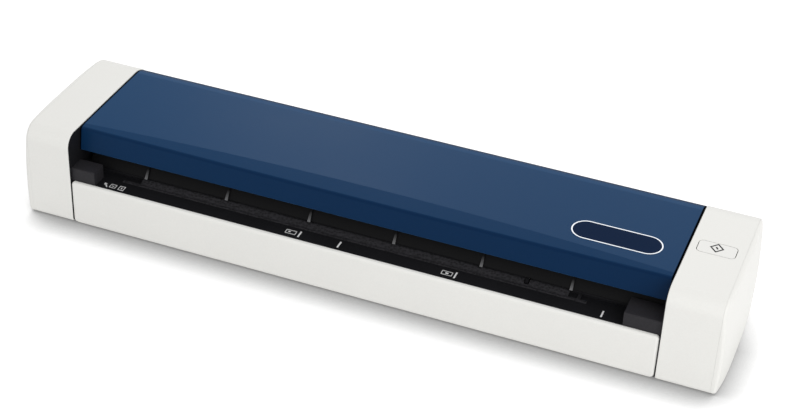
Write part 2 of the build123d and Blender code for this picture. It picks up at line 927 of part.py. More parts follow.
with BuildPart() as motor:
    rod((bracket_right, motor_rear), motor_place, motor_radius)
    rod((bracket_right - motor_boss_length, bracket_right), motor_place, motor_boss_radius)
    rod(
        (bracket_left - cut_overrun, motor_shaft_rear + running_gap),
        motor_place,
        motor_shaft_radius + running_gap,
        Mode.SUBTRACT,
    )
save(motor, "motor")

with BuildPart() as motor_shaft:
    rod((gear_left, motor_shaft_rear), motor_place, motor_shaft_radius)
save(motor_shaft, "motor_shaft")

# Main board, chips, USB socket and the flat cable to the lower head
with BuildPart() as main_board:
    block((board_left, board_right), board_depths, board_heights)
    for place in board_hole_places:
        rod(
            (board_left - cut_overrun, board_right + cut_overrun),
            place,
            screw_radius + running_gap,
            Mode.SUBTRACT,
        )
save(main_board, "main_board")

chip_thickness = 1.2
board_length = board_depths[1] - board_depths[0]
board_rise = board_heights[1] - board_heights[0]
# Each chip's centre and size are shares of the board's length and rise.
chip_shares = ((0.3, 0.5, 0.24, 0.5), (0.55, 0.6, 0.12, 0.28), (0.75, 0.45, 0.1, 0.3))
with BuildPart() as board_chips:
    for along_share, up_share, long_share, tall_share in chip_shares:
        centre_depth = board_depths[0] + along_share * board_length
        centre_height = board_heights[0] + up_share * board_rise
        block(
            (board_left - chip_thickness, board_left),
            widened((centre_depth, centre_depth), long_share * board_length / 2),
            widened((centre_height, centre_height), tall_share * board_rise / 2),
        )
save(board_chips, "board_chips")

usb_tongue = 0.8
with BuildPart() as usb_socket:
    block(usb_x, usb_depths, usb_heights)
    block(
        widened(usb_x, -usb_wall),
        (usb_depths[0] + usb_wall, usb_depths[1] + cut_overrun),
        widened(usb_heights, -usb_wall),
        Mode.SUBTRACT,
    )
    tongue_x = widened((sum(usb_x) / 2, sum(usb_x) / 2), usb_tongue / 2)
    block(tongue_x, (usb_depths[0], usb_depths[1] - usb_wall), widened(usb_heights, -3 * usb_wall))
save(usb_socket, "usb_socket")

with BuildPart() as head_cable:
    block((board_right, head_x[0]), cable_depths, (cable_height, cable_height + cable_thickness))
save(head_cable, "head_cable")

# Scan button, its board and its switch
with BuildPart() as scan_button:
    upright(
        button_length_span,
        button_width_span,
        button_bottom,
        button_corner,
        body_height - button_bottom,
    )
    upright(
        button_length_span,
        widened(button_width_span, button_lip),
        button_bottom,
        button_corner,
        button_lip,
    )
save(scan_button, "scan_button")

with BuildPart() as button_board:
    block(
        button_board_x,
        button_board_depths,
        (button_board_top - button_board_thickness, button_board_top),
    )
save(button_board, "button_board")

with BuildPart() as button_switch:
    block(
        widened((button_x, button_x), switch_size / 2),
        widened((button_depth, button_depth), switch_size / 2),
        (button_board_top, button_board_top + switch_height),
    )
    post(button_x, button_depth, (button_board_top, switch_top), switch_size / 4)
save(button_switch, "button_switch")

# Lid: one curved blue shell with end walls, screw bosses and a groove for the nameplate rim.
lid_rear = body_depth - lid_drop
lid_bend_radius = rear_top_radius - lid_drop
lid_front_top = lid_skirt_depth + lid_lean
lid_edge_radius = 0.3
upper_x = (lid_left + wall + slip, lid_right - wall - slip)
upper_deck = 1.8
upper_deck_top = roof_height + upper_deck
lid_boss_radius = 2.4
lid_boss_inset = 2.6
lid_screw_x = (upper_x[0] + lid_boss_inset, upper_x[1] - lid_boss_inset)
lid_screw_depths = (lower_head_middle, upper_head_middle)
lid_screw_seat = 0.1
lid_screw_length = 7.0

nameplate_length = 35.0
nameplate_width = 11.8
nameplate_rim_width = 0.5
nameplate_right_inset = 11.0
nameplate_x = paper_right - nameplate_right_inset
nameplate_depth = 25.6
nameplate_groove = 0.4
nameplate_proud = 0.15


def nameplate_ring(base, amount, mode=Mode.ADD):
    with BuildSketch(Plane.XY.offset(z_at(base))) as ring:
        with Locations((nameplate_x, y_at(nameplate_depth))):
            SlotOverall(nameplate_length, nameplate_width)
            SlotOverall(
                nameplate_length - 2 * nameplate_rim_width,
                nameplate_width - 2 * nameplate_rim_width,
                mode=Mode.SUBTRACT,
            )
    extrude(ring.sketch, amount=amount, mode=mode)


# The lid's front is lowered by a slanting facet, deepest at the middle of its length.
facet_rise = tan(radians(lid_facet_tilt))
facet_crease_depth = lid_front_top + lid_facet_middle
facet_end_height = lid_height + facet_rise * (lid_facet_middle - lid_facet_ends)
with BuildSketch(Plane.XZ.offset(-y_at(facet_crease_depth))) as facet_cut:
    with BuildLine():
        start = (lid_left, z_at(facet_end_height))
        finish = (lid_right, z_at(facet_end_height))
        ThreePointArc(start, ((lid_left + lid_right) / 2, z_at(lid_height)), finish)
        Polyline(
            finish,
            (lid_right, z_at(lid_height + 2 * cut_overrun)),
            (lid_left, z_at(lid_height + 2 * cut_overrun)),
            start,
        )
    make_face()

with BuildPart() as top_cover:
    section(
        (lid_left, lid_right),
        [
            (lid_skirt_depth, lid_skirt_height),
            (lid_front_top, lid_height),
            (lid_rear, lid_height),
            (lid_rear, lid_rear_skirt_height),
            (lid_rear - wall, lid_rear_skirt_height),
            (lid_rear - wall, lid_under),
            (lid_front_top + wall, lid_under),
            (lid_skirt_depth + wall, lid_skirt_height),
        ],
        [
            lid_edge_radius,
            0,
            lid_bend_radius,
            lid_edge_radius,
            lid_edge_radius,
            lid_bend_radius - wall,
            least_corner_radius,
            lid_edge_radius,
        ],
    )
    extrude(
        facet_cut.sketch,
        amount=facet_crease_depth,
        dir=(0, -1, -facet_rise),
        mode=Mode.SUBTRACT,
    )
    front_middle = (
        (lid_left + lid_right) / 2,
        y_at(lid_front_top),
        z_at(lid_height - lid_facet_middle * facet_rise),
    )
    fillet(edges().sort_by_distance(front_middle)[0], lid_front_radius)
    for end_span in ((lid_left, lid_left + wall), (lid_right - wall, lid_right)):
        section(
            end_span,
            [
                (lid_skirt_depth + wall / 2, lid_skirt_height),
                (lid_front_top + wall / 2, lid_height - wall / 2),
                (lid_end_wall_rear, lid_height - wall / 2),
                (lid_end_wall_rear, lid_skirt_height),
            ],
        )
    upright(
        (lid_left, lid_right),
        (-2 * lid_corner_radius, lid_rear),
        0,
        lid_corner_radius,
        2 * body_height,
        Mode.INTERSECT,
    )
    for x in lid_screw_x:
        for depth in lid_screw_depths:
            post(x, depth, (upper_deck_top, lid_under + wall / 2), lid_boss_radius)
            post(
                x,
                depth,
                (upper_deck_top - cut_overrun, upper_deck_top + lid_screw_length),
                screw_radius + press_gap,
                Mode.SUBTRACT,
            )
    nameplate_ring(lid_height - nameplate_groove, nameplate_groove + cut_overrun, Mode.SUBTRACT)
save(top_cover, "top_cover")

with BuildPart() as nameplate_rim:
    nameplate_ring(lid_height - nameplate_groove, nameplate_groove + nameplate_proud)
save(nameplate_rim, "nameplate_rim")

# Upper frame: the upper half of the paper path, hung in the lid, with six ribs at its mouth.
mouth_foot = 12.4
mouth_knee = (15.7, 26.0)
mouth_wall = 1.0
rib_count = 6
rib_left_inset = 1.7
rib_right_overhang = 0.7
rib_start = ramp_x[0] + rib_left_inset
rib_pitch = (ramp_x[1] + rib_right_overhang - rib_start) / (rib_count - 1)
rib_foot_width = 1.2
rib_top_width = 0.5
rib_proud = 1.0
rib_rise = 0.8
upper_deck_inset = 8.0
upper_deck_rear = body_depth - upper_deck_inset
stiffener_gap = 1.0
stiffener_depth = feed_shaft_depth + pinch_radius + stiffener_gap
upper_head_top = roof_height + head_glass + head_height
pinch_window_gap = 0.1
bearing_width = 3.0
bearing_cap = 1.1
bearing_inset = 2.0
pinch_x = (
    tyre_places[0] - tyre_width / 2 - pinch_overhang,
    tyre_places[-1] + tyre_width / 2 + pinch_overhang,
)
bearing_spans = (
    (pinch_x[0] + bearing_inset, pinch_x[0] + bearing_inset + bearing_width),
    widened((paper_centre, paper_centre), bearing_width / 2),
    (pinch_x[1] - bearing_inset - bearing_width, pinch_x[1] - bearing_inset),
)
pinch_places = {"front": (feed_shaft_depth, pinch_height), "rear": (exit_shaft_depth, pinch_height)}
upper_cradle_front = upper_head_span[0] - head_gap
upper_cradle_rear = upper_head_span[1] + head_gap



def mouth_rib(x):
    # An upright rib on the mouth wall, wider at its foot.
    top_height = mouth_knee[1] + 2 * rib_rise
    with BuildSketch(Plane.XZ.offset(-y_at(mouth_foot - rib_proud - cut_overrun))) as front_view:
        with BuildLine():
            Polyline(
                (x - rib_foot_width / 2, z_at(roof_height)),
                (x + rib_foot_width / 2, z_at(roof_height)),
                (x + rib_top_width / 2, z_at(top_height)),
                (x - rib_top_width / 2, z_at(top_height)),
                close=True,
            )
        make_face()
    with BuildPart() as rib:
        section(
            widened((x, x), rib_foot_width),
            [
                (mouth_foot - rib_proud, roof_height),
                (mouth_knee[0] - rib_proud, mouth_knee[1]),
                (mouth_knee[0], top_height),
                (mouth_knee[0] + mouth_wall / 2, mouth_knee[1]),
                (mouth_foot + mouth_wall / 2, roof_height),
            ],
        )
        extrude(front_view.sketch, amount=-body_depth / 2, mode=Mode.INTERSECT)
    return rib.part


with BuildPart() as upper_frame:
    block(upper_x, (mouth_knee[0], upper_deck_rear), (roof_height, upper_deck_top))
    section(
        upper_x,
        [
            (mouth_foot, roof_height),
            mouth_knee,
            (mouth_knee[0], lid_under),
            (mouth_knee[0] + mouth_wall, lid_under),
            (mouth_knee[0] + mouth_wall, roof_height),
        ],
    )
    for number in range(rib_count):
        add(mouth_rib(rib_start + number * rib_pitch))
    block(upper_x, (stiffener_depth, stiffener_depth + cradle_wall), (roof_height, lid_under))
    block(
        upper_x,
        (upper_cradle_front - cradle_wall, upper_cradle_front),
        (roof_height, upper_head_top),
    )
    block(upper_x, (upper_cradle_rear, upper_cradle_rear + cradle_wall), (roof_height, lid_under))
    for place in pinch_places.values():
        for bearing_span in bearing_spans:
            block(
                bearing_span,
                widened((place[0], place[0]), pinch_shaft_radius + bearing_cap),
                (roof_height, pinch_height + pinch_shaft_radius + bearing_cap),
            )
        rod(pinch_x, place, pinch_shaft_radius + running_gap, Mode.SUBTRACT)
        for x in tyre_places:
            block(
                widened((x, x), tyre_width / 2 + window_margin),
                widened((place[0], place[0]), pinch_radius + pinch_window_gap),
                (roof_height - cut_overrun, upper_deck_top + cut_overrun),
                Mode.SUBTRACT,
            )
    block(
        widened(head_x, head_gap),
        (upper_cradle_front, upper_cradle_rear),
        (roof_height - cut_overrun, upper_deck_top + cut_overrun),
        Mode.SUBTRACT,
    )
    block(
        widened((paper_left, paper_right), slip),
        widened(lower_head_span, slip),
        (roof_height - cut_overrun, roof_height + backing_thickness),
        Mode.SUBTRACT,
    )
    for lug_span in (
        (lid_left, lid_left + hinge_lug_length),
        (lid_right - hinge_lug_length, lid_right),
    ):
        rod(lug_span, hinge_place, hinge_lug_radius)
        block(
            lug_span,
            (upper_deck_rear - hinge_lug_radius, hinge_place[0]),
            (roof_height, hinge_height + hinge_lug_radius),
        )
        rod(
            widened(lug_span, cut_overrun),
            hinge_place,
            hinge_pin_radius + running_gap,
            Mode.SUBTRACT,
        )
    for x in lid_screw_x:
        for depth in lid_screw_depths:
            post(
                x,
                depth,
                (roof_height - cut_overrun, upper_deck_top + cut_overrun),
                screw_radius + slip,
                Mode.SUBTRACT,
            )
            post(
                x,
                depth,
                (roof_height - cut_overrun, roof_height + lid_screw_seat + screw_head_height),
                screw_head_radius + slip,
                Mode.SUBTRACT,
            )
            post(
                x,
                depth,
                (upper_deck_top, lid_under + cut_overrun),
                lid_boss_radius + slip,
                Mode.SUBTRACT,
            )
save(upper_frame, "upper_frame")

with BuildPart() as upper_scan_head:
    block(head_x, upper_head_span, (roof_height + head_glass, upper_head_top))
save(upper_scan_head, "upper_scan_head")

with BuildPart() as upper_scan_glass:
    block(head_x, upper_head_span, (roof_height, roof_height + head_glass))
save(upper_scan_glass, "upper_scan_glass")

with BuildPart() as upper_backing:
    block(
        (paper_left, paper_right),
        lower_head_span,
        (roof_height, roof_height + backing_thickness),
    )
save(upper_backing, "upper_backing")

for end_name, place in pinch_places.items():
    with BuildPart() as pinch_shaft:
        rod(pinch_x, place, pinch_shaft_radius)
    save(pinch_shaft, end_name + "_pinch_shaft")
    with BuildPart() as pinch_rollers:
        for x in tyre_places:
            rod(widened((x, x), tyre_width / 2), place, pinch_radius)
        rod(pinch_x, place, pinch_shaft_radius + press_gap, Mode.SUBTRACT)
    save(pinch_rollers, end_name + "_pinch_rollers")

# Leaf springs reach from the frame's walls over the pinch shafts.
spring_width = 6.0
spring_thickness = 0.4
spring_height = pinch_height + pinch_shaft_radius + running_gap
with BuildPart() as pinch_springs:
    for x in (tyre_places[0] + tyre_pitch / 2, tyre_places[-1] - tyre_pitch / 2):
        for depths in (
            (feed_shaft_depth - pinch_shaft_radius, stiffener_depth),
            (upper_cradle_rear + cradle_wall, exit_shaft_depth + pinch_shaft_radius),
        ):
            block(
                widened((x, x), spring_width / 2),
                depths,
                (spring_height, spring_height + spring_thickness),
            )
save(pinch_springs, "pinch_springs")

# Screws
head_low = screw_seat
head_high = screw_seat + screw_head_height
with BuildPart() as case_screws:
    for x, depth in case_screw_places:
        post(x, depth, (head_low, head_high), screw_head_radius)
        post(x, depth, (head_low, head_low + case_screw_length), screw_radius)
save(case_screws, "case_screws")

ear_screw_tip_gap = 0.2
frame_screw_runs = [
    (frame_left_outer - ear_thickness, -1, bay_left - ear_screw_tip_gap, place)
    for place in ear_places
] + [
    (frame_right_outer + ear_thickness, 1, bay_right + ear_screw_tip_gap, place)
    for place in ear_places
] + [
    (board_left, -1, board_right + board_screw_grip, place) for place in board_hole_places
] + [
    (bracket_right, 1, bay_right, place) for place in bracket_places
]
with BuildPart() as frame_screws:
    for face_x, side, tip_x, place in frame_screw_runs:
        head_x_end = face_x + side * screw_head_height
        rod((min(face_x, head_x_end), max(face_x, head_x_end)), place, screw_head_radius)
        rod((min(face_x, tip_x), max(face_x, tip_x)), place, screw_radius)
save(frame_screws, "frame_screws")

with BuildPart() as lid_screws:
    for x in lid_screw_x:
        for depth in lid_screw_depths:
            seat = roof_height + lid_screw_seat
            post(x, depth, (seat, seat + screw_head_height), screw_head_radius)
            post(x, depth, (seat, seat + lid_screw_length), screw_radius)
save(lid_screws, "lid_screws")
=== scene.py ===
import math

import bpy
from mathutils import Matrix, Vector


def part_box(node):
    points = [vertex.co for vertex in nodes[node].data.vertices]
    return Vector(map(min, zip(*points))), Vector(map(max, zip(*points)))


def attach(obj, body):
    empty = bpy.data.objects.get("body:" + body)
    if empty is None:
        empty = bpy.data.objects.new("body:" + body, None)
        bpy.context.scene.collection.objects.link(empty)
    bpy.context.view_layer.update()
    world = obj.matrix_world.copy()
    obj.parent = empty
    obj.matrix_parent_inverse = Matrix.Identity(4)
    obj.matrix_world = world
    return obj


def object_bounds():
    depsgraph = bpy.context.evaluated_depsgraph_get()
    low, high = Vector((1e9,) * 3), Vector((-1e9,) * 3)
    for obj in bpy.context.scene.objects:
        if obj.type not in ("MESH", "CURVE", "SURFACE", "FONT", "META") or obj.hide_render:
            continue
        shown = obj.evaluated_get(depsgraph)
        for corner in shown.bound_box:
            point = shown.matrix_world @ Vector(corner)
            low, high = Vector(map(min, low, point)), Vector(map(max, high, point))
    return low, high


mm = 0.001

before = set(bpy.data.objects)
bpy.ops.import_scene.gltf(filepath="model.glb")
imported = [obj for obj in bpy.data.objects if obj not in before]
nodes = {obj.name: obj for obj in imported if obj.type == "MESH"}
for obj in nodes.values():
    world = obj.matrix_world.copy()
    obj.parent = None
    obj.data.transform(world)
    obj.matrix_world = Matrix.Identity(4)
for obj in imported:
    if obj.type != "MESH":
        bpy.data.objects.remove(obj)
cadBox = [list(corner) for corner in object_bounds()]
scene = bpy.context.scene
scene.view_settings.view_transform = "Standard"
print("frame loaded:", len(nodes), "nodes")


def depthAt(depth):
    # the place along Y that lies this many millimetres behind the front of the case
    return cadBox[0][1] + depth * mm


camera = {
    "place": (0.205165, -0.548633, 0.425413),
    "turn": (55.4209, -2.1247, 21.5089),
    "lens": 81.374,
    "sensor": 36,
    "nearest": 0.01,
}


def addCamera():
    bpy.ops.object.camera_add(
        location=camera["place"], rotation=[math.radians(angle) for angle in camera["turn"]]
    )
    seen = bpy.context.object
    seen.data.lens = camera["lens"]
    seen.data.sensor_width = camera["sensor"]
    seen.data.clip_start = camera["nearest"]
    scene.camera = seen


lamps = {
    "side": {"place": (0.80, -0.72, 0.66), "size": (0.9, 0.9), "power": 6.0},
    "back": {"place": (-0.06, 0.95, 0.70), "size": (1.0, 0.5), "power": 1.6},
    "patch": {"place": (-0.44, 0.95, 0.70), "size": (0.2, 0.3), "power": 0.5},
}


def addLamps():
    # each lamp faces the middle of the case
    for name, lamp in lamps.items():
        bpy.ops.object.light_add(type="AREA", location=lamp["place"])
        made = bpy.context.object
        made.name = name + "Lamp"
        made.data.shape = "RECTANGLE"
        made.data.size, made.data.size_y = lamp["size"]
        made.data.energy = lamp["power"]
        made.rotation_euler = Vector(lamp["place"]).to_track_quat("Z", "Y").to_euler()


def addNode(tree, kind, inputs=None, **settings):
    made = tree.nodes.new(kind)
    for name, value in settings.items():
        setattr(made, name, value)
    for name, value in (inputs or {}).items():
        if isinstance(value, bpy.types.NodeSocket):
            tree.links.new(value, made.inputs[name])
        else:
            made.inputs[name].default_value = value
    return made


def mathNode(tree, operation, first, second=0.0, third=0.0, clamp=False):
    inputs = {0: first, 1: second, 2: third}
    made = addNode(tree, "ShaderNodeMath", inputs, operation=operation, use_clamp=clamp)
    return made.outputs[0]


def vectorNode(tree, operation, first, second):
    made = addNode(tree, "ShaderNodeVectorMath", {0: first, 1: second}, operation=operation)
    return made.outputs[0]


def mapped(tree, value, start, stop):
    # 0 up to start, 1 from stop on, and even between them
    return addNode(tree, "ShaderNodeMapRange", {"Value": value, 1: start, 2: stop}).outputs[0]


def blended(tree, share, first, second):
    # the first colour where the share is 0, the second where it is 1
    inputs = {0: share, 6: first, 7: second}
    return addNode(tree, "ShaderNodeMix", inputs, data_type="RGBA").outputs[2]


def objectPlace(tree):
    return addNode(tree, "ShaderNodeTexCoord").outputs["Object"]


def splitPlace(tree, place):
    return addNode(tree, "ShaderNodeSeparateXYZ", {"Vector": place}).outputs


def noiseNode(tree, place, scale, detail):
    inputs = {"Vector": place, "Scale": scale, "Detail": detail}
    return addNode(tree, "ShaderNodeTexNoise", inputs).outputs["Fac"]


def centred(tree, noise):
    # noise around 0 instead of around a half
    return mathNode(tree, "SUBTRACT", noise, 0.5)


def toned(tree, colour, change, amount):
    # the colour made lighter and darker by a change around 0
    value = mathNode(tree, "MULTIPLY_ADD", change, amount, 1.0)
    return addNode(tree, "ShaderNodeHueSaturation", {"Value": value, "Color": colour}).outputs[0]


def opaque(colour):
    return (*colour, 1)


def seenRays(tree):
    # 1 for what the camera sees directly, in a reflection or through glass
    path = addNode(tree, "ShaderNodeLightPath").outputs
    first = mathNode(tree, "MAXIMUM", path["Is Camera Ray"], path["Is Glossy Ray"])
    return mathNode(tree, "MAXIMUM", first, path["Is Transmission Ray"])


studio = {"worldLight": 0.76, "worldSeen": 1.0}


def addWorld():
    world = bpy.data.worlds.new("studioWorld")
    scene.world = world
    world.use_nodes = True
    tree = world.node_tree
    background = tree.nodes["Background"]
    background.inputs["Color"].default_value = (1, 1, 1, 1)
    more = studio["worldSeen"] - studio["worldLight"]
    strength = mathNode(tree, "MULTIPLY_ADD", seenRays(tree), more, studio["worldLight"])
    tree.links.new(strength, background.inputs["Strength"])


paper = {
    "side": 12,
    "colour": 0.84,
    "lift": 0.38,
    "reach": 17.0,
    "samples": 16,
    # lean, shade, bend, fade and depth shape the painted shadow on the paper
    "lean": (-0.38, 0.66, 0.65),
    "shade": (0.95, 0.34),
    "bend": 1.4,
    "fade": (30.0, -4.0),
    "depth": 0.68,
}


def addFloor():
    # white paper with a painted shadow where the case meets it: ambient occlusion leaned towards
    # the back and left, strongest along the front and faded towards the rear
    bpy.ops.mesh.primitive_plane_add(size=paper["side"], location=(0, 0, 0))
    floor = bpy.context.object
    floor.name = "floor"
    made = bpy.data.materials.new("floorPaper")
    made.use_nodes = True
    tree = made.node_tree
    tree.nodes.clear()
    lean = addNode(tree, "ShaderNodeCombineXYZ", dict(enumerate(paper["lean"])))
    near = addNode(
        tree,
        "ShaderNodeAmbientOcclusion",
        {"Distance": paper["reach"] * mm, "Normal": lean.outputs[0]},
        samples=paper["samples"],
    )
    shade = mapped(tree, near.outputs["AO"], *paper["shade"])
    shade = mathNode(tree, "POWER", shade, paper["bend"])
    y = splitPlace(tree, objectPlace(tree))[1]
    fade = mapped(tree, y, *[place * mm for place in paper["fade"]])
    seen = seenRays(tree)
    # painted shadow, only in what is seen directly, in reflections or through glass
    dark = mathNode(tree, "MULTIPLY", mathNode(tree, "MULTIPLY", shade, fade), seen)
    share = mathNode(tree, "MULTIPLY_ADD", dark, -paper["depth"], 1.0)
    grey = mathNode(tree, "MULTIPLY", share, paper["colour"])
    diffuse = addNode(tree, "ShaderNodeBsdfDiffuse", {"Color": grey})
    lift = mathNode(tree, "MULTIPLY", mathNode(tree, "MULTIPLY", seen, share), paper["lift"])
    glow = addNode(tree, "ShaderNodeEmission", {"Strength": lift})
    both = addNode(tree, "ShaderNodeAddShader", {0: diffuse.outputs[0], 1: glow.outputs[0]})
    out = addNode(tree, "ShaderNodeOutputMaterial")
    tree.links.new(both.outputs[0], out.inputs["Surface"])
    floor.data.materials.append(made)


addCamera()
addLamps()
addWorld()
addFloor()
print("camera, lamps, world and floor placed")


def newGroup(name, inputs, outputs):
    group = bpy.data.node_groups.new(name, "ShaderNodeTree")
    for label, kind, value in inputs:
        socket = group.interface.new_socket(
            name=label, in_out="INPUT", socket_type="NodeSocket" + kind
        )
        socket.default_value = value
    for label, kind in outputs:
        group.interface.new_socket(name=label, in_out="OUTPUT", socket_type="NodeSocket" + kind)
    given = group.nodes.new("NodeGroupInput").outputs
    return group, given, group.nodes.new("NodeGroupOutput").inputs


skinOutputs = [("Colour", "Color"), ("Roughness", "Float"), ("Height", "Float")]
mouldSkin = {"blotch": 28.0, "blotchDetail": 5.0, "grainDetail": 2.0, "grainShare": 1.5}


def buildMouldedGrain():
    # soft blotches in tone and gloss, with the fine grain of a moulded or cast skin
    group, given, out = newGroup(
        "mouldedGrain",
        [
            ("Colour", "Color", (0.5, 0.5, 0.5, 1)),
            ("Tone", "Float", 0.03),
            ("Grain Scale", "Float", 1500.0),
            ("Roughness", "Float", 0.5),
            ("Spread", "Float", 0.1),
        ],
        skinOutputs,
    )
    place = objectPlace(group)
    blotches = noiseNode(group, place, mouldSkin["blotch"], mouldSkin["blotchDetail"])
    blotch = centred(group, blotches)
    grain = noiseNode(group, place, given["Grain Scale"], mouldSkin["grainDetail"])
    fine = centred(group, grain)
    change = mathNode(group, "MULTIPLY_ADD", fine, mouldSkin["grainShare"], blotch)
    rough = mathNode(
        group, "MULTIPLY_ADD", blotch, given["Spread"], given["Roughness"], clamp=True
    )
    group.links.new(toned(group, given["Colour"], change, given["Tone"]), out["Colour"])
    group.links.new(rough, out["Roughness"])
    group.links.new(grain, out["Height"])
    return group


metalSkin = {"lineDetail": 3.0, "lineShare": 0.6, "stain": 60.0, "stainDetail": 4.0}


def buildTurnedLines():
    # the fine lines that turning, rolling or brushing leaves on metal
    group, given, out = newGroup(
        "turnedLines",
        [
            ("Colour", "Color", (0.6, 0.6, 0.6, 1)),
            ("Tone", "Float", 0.1),
            ("Line Scale", "Float", 900.0),
            ("Stretch", "Vector", (1.0, 0.03, 0.03)),
            ("Roughness", "Float", 0.3),
            ("Spread", "Float", 0.2),
        ],
        skinOutputs,
    )
    place = objectPlace(group)
    drawn = vectorNode(group, "MULTIPLY", place, given["Stretch"])
    lines = noiseNode(group, drawn, given["Line Scale"], metalSkin["lineDetail"])
    stains = noiseNode(group, place, metalSkin["stain"], metalSkin["stainDetail"])
    stain = centred(group, stains)
    line = centred(group, lines)
    change = mathNode(group, "MULTIPLY_ADD", line, metalSkin["lineShare"], stain)
    rough = mathNode(
        group, "MULTIPLY_ADD", change, given["Spread"], given["Roughness"], clamp=True
    )
    group.links.new(toned(group, given["Colour"], change, given["Tone"]), out["Colour"])
    group.links.new(rough, out["Roughness"])
    group.links.new(lines, out["Height"])
    return group


ribSkin = {"dust": 420.0, "dustDetail": 4.0, "rough": 0.85, "polish": 0.2}


def buildRolledRibs():
    # fine ribs round a roller that turns about X, with scuffed crowns
    group, given, out = newGroup(
        "rolledRibs",
        [
            ("Middle", "Vector", (0.0, 0.0, 0.0)),
            ("Ribs", "Float", 60.0),
            ("Colour", "Color", (0.03, 0.03, 0.03, 1)),
            ("Scuff", "Color", (0.06, 0.06, 0.06, 1)),
        ],
        skinOutputs,
    )
    place = objectPlace(group)
    parts = splitPlace(group, vectorNode(group, "SUBTRACT", place, given["Middle"]))
    angle = mathNode(group, "ARCTAN2", parts[1], parts[2])
    wave = mathNode(group, "SINE", mathNode(group, "MULTIPLY", angle, given["Ribs"]))
    height = mathNode(group, "MULTIPLY_ADD", wave, 0.5, 0.5)
    dust = noiseNode(group, place, ribSkin["dust"], ribSkin["dustDetail"])
    share = mathNode(group, "MULTIPLY", dust, height, clamp=True)
    rough = mathNode(group, "MULTIPLY_ADD", share, -ribSkin["polish"], ribSkin["rough"])
    group.links.new(blended(group, share, given["Colour"], given["Scuff"]), out["Colour"])
    group.links.new(rough, out["Roughness"])
    group.links.new(height, out["Height"])
    return group


mouldedGrain = buildMouldedGrain()
turnedLines = buildTurnedLines()
rolledRibs = buildRolledRibs()


def newMaterial(name):
    made = bpy.data.materials.new(name)
    made.use_nodes = True
    return made, made.node_tree, made.node_tree.nodes["Principled BSDF"]


def addBump(tree, shader, height, depth):
    bump = addNode(tree, "ShaderNodeBump", {"Height": height, "Distance": depth * mm})
    tree.links.new(bump.outputs["Normal"], shader.inputs["Normal"])


def addSkin(tree, shader, group, values, depth):
    # colour, gloss and relief from a group
    skin = addNode(tree, "ShaderNodeGroup", values, node_tree=group)
    tree.links.new(skin.outputs["Colour"], shader.inputs["Base Color"])
    tree.links.new(skin.outputs["Roughness"], shader.inputs["Roughness"])
    addBump(tree, shader, skin.outputs["Height"], depth)


skinSockets = {
    "tone": "Tone",
    "grain": "Grain Scale",
    "lines": "Line Scale",
    "stretch": "Stretch",
    "rough": "Roughness",
    "spread": "Spread",
}


def skinned(name, group, look):
    # a finish whose look is worn over a group, with its plain numbers on the shader
    made, tree, shader = newMaterial(name)
    values = {label: look[key] for key, label in skinSockets.items() if key in look}
    values["Colour"] = opaque(look["colour"])
    addSkin(tree, shader, group, values, look["depth"])
    for label, value in look["shader"].items():
        shader.inputs[label].default_value = value
    return made


trace = {"Specular IOR Level": 0.02}
low = {"Specular IOR Level": 0.12}
soft = {"Specular IOR Level": 0.3}
sheen = {
    "Specular IOR Level": 0.05,
    "Sheen Weight": 0.48,
    "Sheen Roughness": 0.55,
    "Sheen Tint": (0.10, 0.42, 0.95, 1.0),
}
metallic = {"Metallic": 1.0}

mouldedLooks = {
    "whitePlastic": {
        "colour": (0.80, 0.795, 0.765),
        "tone": 0.035,
        "grain": 1600,
        "rough": 0.42,
        "spread": 0.12,
        "depth": 0.012,
        "shader": soft,
    },
    "buttonPlastic": {
        "colour": (0.79, 0.785, 0.76),
        "tone": 0.03,
        "grain": 1500,
        "rough": 0.36,
        "spread": 0.1,
        "depth": 0.008,
        "shader": soft,
    },
    "bluePlastic": {
        "colour": (0.0006, 0.0112, 0.0430),
        "tone": 0.12,
        "grain": 1800,
        "rough": 0.32,
        "spread": 0.08,
        "depth": 0.01,
        "shader": sheen,
    },
    "blackPlastic": {
        "colour": (0.0095, 0.0095, 0.0110),
        "tone": 0.5,
        "grain": 1400,
        "rough": 0.5,
        "spread": 0.2,
        "depth": 0.03,
        "shader": low,
    },
    "guidePlastic": {
        "colour": (0.024, 0.023, 0.026),
        "tone": 0.35,
        "grain": 1400,
        "rough": 0.48,
        "spread": 0.15,
        "depth": 0.03,
        "shader": low,
    },
    "headBlack": {
        "colour": (0.010, 0.010, 0.011),
        "tone": 0.3,
        "grain": 1200,
        "rough": 0.55,
        "spread": 0.1,
        "depth": 0.02,
        "shader": low,
    },
    "naturalPlastic": {
        "colour": (0.74, 0.73, 0.69),
        "tone": 0.06,
        "grain": 900,
        "rough": 0.38,
        "spread": 0.1,
        "depth": 0.01,
        "shader": soft,
    },
    "backingWhite": {
        "colour": (0.84, 0.84, 0.83),
        "tone": 0.03,
        "grain": 700,
        "rough": 0.6,
        "spread": 0.1,
        "depth": 0.01,
        "shader": soft,
    },
    "footRubber": {
        "colour": (0.014, 0.014, 0.015),
        "tone": 0.4,
        "grain": 1100,
        "rough": 0.8,
        "spread": 0.15,
        "depth": 0.05,
        "shader": low,
    },
    "chipBlack": {
        "colour": (0.012, 0.012, 0.013),
        "tone": 0.3,
        "grain": 2400,
        "rough": 0.6,
        "spread": 0.1,
        "depth": 0.015,
        "shader": low,
    },
    "markWhite": {
        "colour": (0.78, 0.78, 0.78),
        "tone": 0.06,
        "grain": 2500,
        "rough": 0.5,
        "spread": 0.1,
        "depth": 0.004,
        "shader": soft,
    },
    "signGrey": {
        "colour": (0.010, 0.010, 0.011),
        "tone": 0.2,
        "grain": 2500,
        "rough": 0.5,
        "spread": 0.1,
        "depth": 0.004,
        "shader": soft,
    },
    "plateBlue": {
        "colour": (0.0005, 0.011, 0.042),
        "tone": 0.2,
        "grain": 2600,
        "rough": 0.3,
        "spread": 0.08,
        "depth": 0.006,
        "shader": trace,
    },
}
